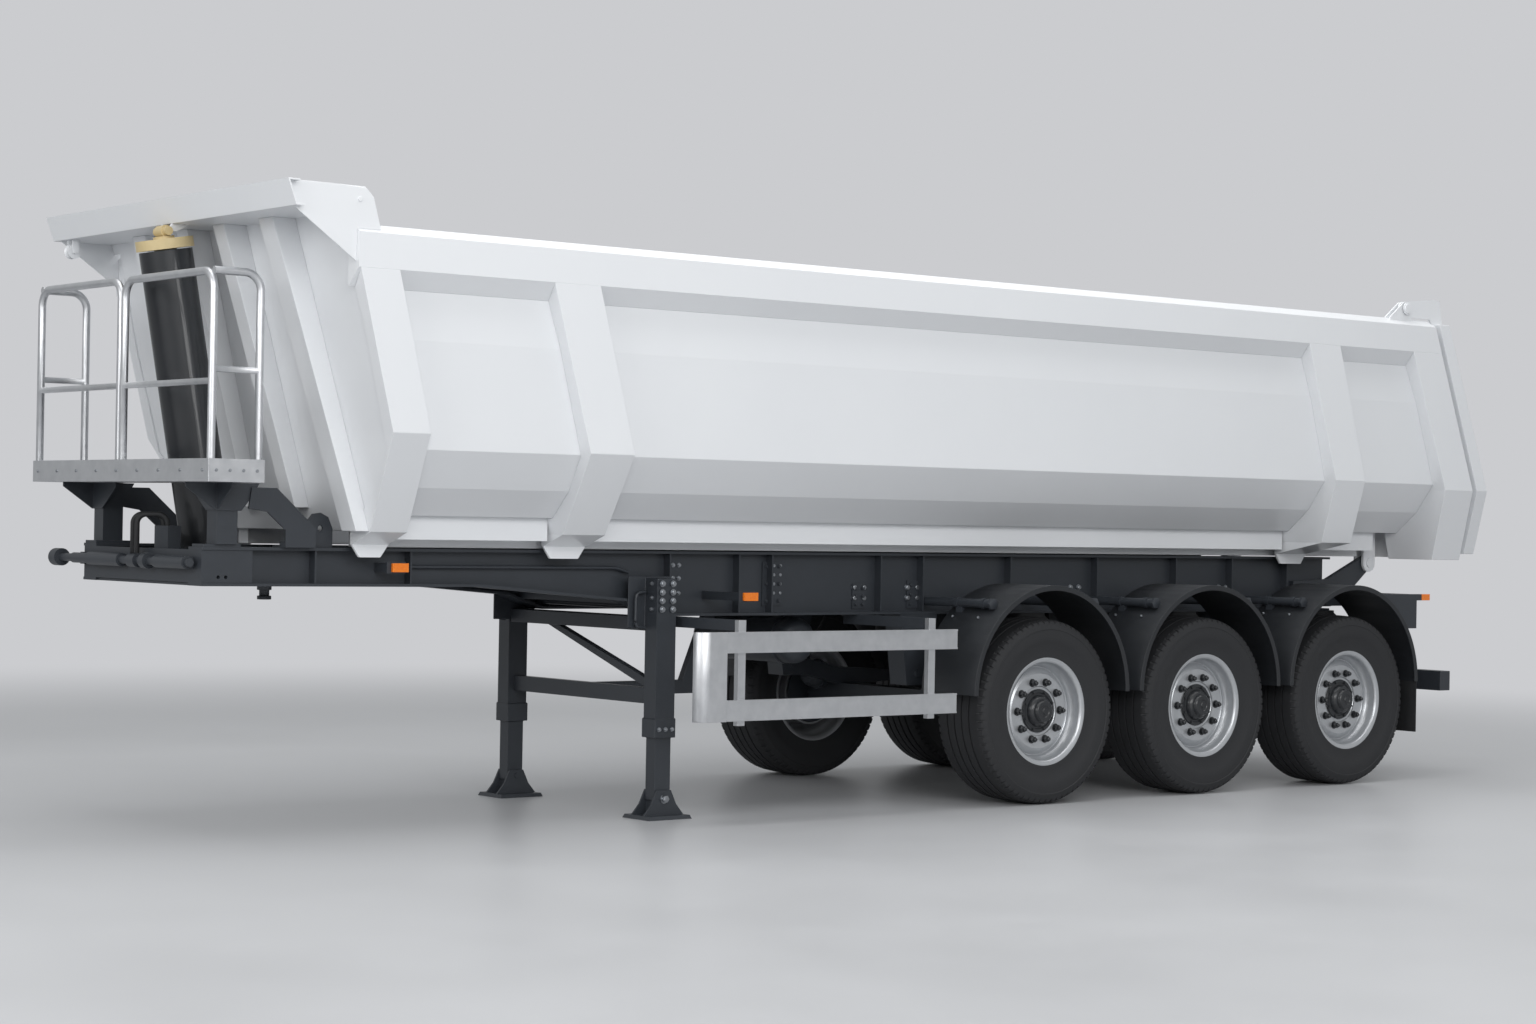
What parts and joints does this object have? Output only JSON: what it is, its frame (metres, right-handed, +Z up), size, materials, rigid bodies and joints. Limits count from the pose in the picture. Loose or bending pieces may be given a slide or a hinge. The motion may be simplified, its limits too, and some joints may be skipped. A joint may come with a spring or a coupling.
{
  "type": "tri-axle dump semi-trailer",
  "caption": "Dump semi-trailer with a faceted steel body that tips to the rear on a front telescopic hoist, top-hung tailgate, landing legs and air-sprung axles.",
  "frame": {"origin": "on the ground under the middle of the overall bounding box", "axes": "+X towards the coupling end, +Y to the left side, +Z up"},
  "size_m": [9.1738, 2.55, 3.097],
  "materials": {
    "body_white": "semi-gloss enamel",
    "chassis_grey": "satin powder coat",
    "aluminium": "mill finish",
    "tyre": "matt",
    "wheel_steel": "silver paint",
    "black_plastic": "moulded",
    "rubber": "matt",
    "hoist_black": "satin",
    "cap_beige": "satin",
    "chrome": "polished",
    "amber_lens": "clear lens",
    "red_lens": "clear lens"
  },
  "bodies": {
    "chassis": {"air_springs": "rubber", "air_tank": "chassis_grey", "amber_lamps": "amber_lens", "axles": "chassis_grey", "coupling_hoses": "rubber", "coupling_pipe": "chassis_grey", "coupling_plate": "chassis_grey", "crossmembers": "chassis_grey", "frame_brackets": "chassis_grey", "frame_rails": "chassis_grey", "hoist_cradle": "chassis_grey", "lamp_boards": "chassis_grey", "landing_brace": "chassis_grey", "landing_feet": "chassis_grey", "landing_legs": "chassis_grey", "mudflaps": "rubber", "mudguard_stays": "chassis_grey", "mudguards": "black_plastic", "pivot_arms": "chassis_grey", "rear_underrun": "chassis_grey", "side_guards": "aluminium", "suspension_arms": "chassis_grey", "suspension_hangers": "chassis_grey", "tail_lamps": "red_lens", "walkway_deck": "aluminium", "walkway_railing": "aluminium", "walkway_supports": "chassis_grey"},
    "dump_body": {"bed_bearers": "body_white", "bed_hinge_lugs": "body_white", "bed_runners": "body_white", "canopy": "body_white", "floor": "body_white", "front_stiffeners": "body_white", "front_wall": "body_white", "ribs": "body_white", "side_wall_left": "body_white", "side_wall_right": "body_white", "top_rails": "body_white"},
    "tailgate": {"tailgate_arms": "body_white", "tailgate_frame": "body_white", "tailgate_panel": "body_white"},
    "hoist_barrel": {"hoist_barrel": "hoist_black"},
    "hoist_stage_1": {"hoist_stage_1": "chrome"},
    "hoist_stage_2": {"hoist_stage_2": "chrome"},
    "hoist_stage_3": {"hoist_stage_3": "chrome"},
    "hoist_stage_4": {"hoist_stage_4": "chrome"},
    "hoist_stage_5": {"hoist_stage_5": "cap_beige"},
    "wheel_left_1": {"tyre_left_1": "tyre", "wheel_left_1": "wheel_steel"},
    "wheel_right_1": {"tyre_right_1": "tyre", "wheel_right_1": "wheel_steel"},
    "wheel_left_2": {"tyre_left_2": "tyre", "wheel_left_2": "wheel_steel"},
    "wheel_right_2": {"tyre_right_2": "tyre", "wheel_right_2": "wheel_steel"},
    "wheel_left_3": {"tyre_left_3": "tyre", "wheel_left_3": "wheel_steel"},
    "wheel_right_3": {"tyre_right_3": "tyre", "wheel_right_3": "wheel_steel"}
  },
  "joints": [
    {"name": "wheel_left_1_spin", "type": "hinge", "parent": "chassis", "child": "wheel_left_1", "pos_m": [-0.5631, 1.02, 0.525], "axis": [0, 1, 0], "continuous": true},
    {"name": "wheel_right_1_spin", "type": "hinge", "parent": "chassis", "child": "wheel_right_1", "pos_m": [-0.5631, -1.02, 0.525], "axis": [0, 1, 0], "continuous": true},
    {"name": "wheel_left_2_spin", "type": "hinge", "parent": "chassis", "child": "wheel_left_2", "pos_m": [-1.8731, 1.02, 0.525], "axis": [0, 1, 0], "continuous": true},
    {"name": "wheel_right_2_spin", "type": "hinge", "parent": "chassis", "child": "wheel_right_2", "pos_m": [-1.8731, -1.02, 0.525], "axis": [0, 1, 0], "continuous": true},
    {"name": "wheel_left_3_spin", "type": "hinge", "parent": "chassis", "child": "wheel_left_3", "pos_m": [-3.1831, 1.02, 0.525], "axis": [0, 1, 0], "continuous": true},
    {"name": "wheel_right_3_spin", "type": "hinge", "parent": "chassis", "child": "wheel_right_3", "pos_m": [-3.1831, -1.02, 0.525], "axis": [0, 1, 0], "continuous": true},
    {"name": "body_tip", "type": "hinge", "parent": "chassis", "child": "dump_body", "pos_m": [-4.0631, 0, 1.37], "axis": [0, -1, 0], "range_deg": [0, 45]},
    {"name": "tailgate_swing", "type": "hinge", "parent": "dump_body", "child": "tailgate", "pos_m": [-3.6731, 0, 2.992], "axis": [0, 1, 0], "range_deg": [0, 75]},
    {"name": "hoist_tilt", "type": "hinge", "parent": "chassis", "child": "hoist_barrel", "pos_m": [4.0719, 0, 1.31], "axis": [0, -1, 0], "range_deg": [0, 34.87]},
    {"name": "hoist_extend_1", "type": "slide", "parent": "hoist_barrel", "child": "hoist_stage_1", "axis": [0.1745, 0, 0.9847], "range_m": [0, 1.24]},
    {"name": "hoist_extend_2", "type": "slide", "parent": "hoist_stage_1", "child": "hoist_stage_2", "axis": [0.1745, 0, 0.9847], "range_m": [0, 1.24]},
    {"name": "hoist_extend_3", "type": "slide", "parent": "hoist_stage_2", "child": "hoist_stage_3", "axis": [0.1745, 0, 0.9847], "range_m": [0, 1.24]},
    {"name": "hoist_extend_4", "type": "slide", "parent": "hoist_stage_3", "child": "hoist_stage_4", "axis": [0.1745, 0, 0.9847], "range_m": [0, 1.24]},
    {"name": "hoist_extend_5", "type": "slide", "parent": "hoist_stage_4", "child": "hoist_stage_5", "axis": [0.1745, 0, 0.9847], "range_m": [0, 1.24]}
  ],
  "couplings": [
    {"joint": "hoist_tilt", "follows": "body_tip", "ratio": 0.77378},
    {"joint": "hoist_extend_1", "follows": "body_tip", "m_per_rad": 1.5772},
    {"joint": "hoist_extend_2", "follows": "body_tip", "m_per_rad": 1.5772},
    {"joint": "hoist_extend_3", "follows": "body_tip", "m_per_rad": 1.5772},
    {"joint": "hoist_extend_4", "follows": "body_tip", "m_per_rad": 1.5772},
    {"joint": "hoist_extend_5", "follows": "body_tip", "m_per_rad": 1.5772}
  ]
}
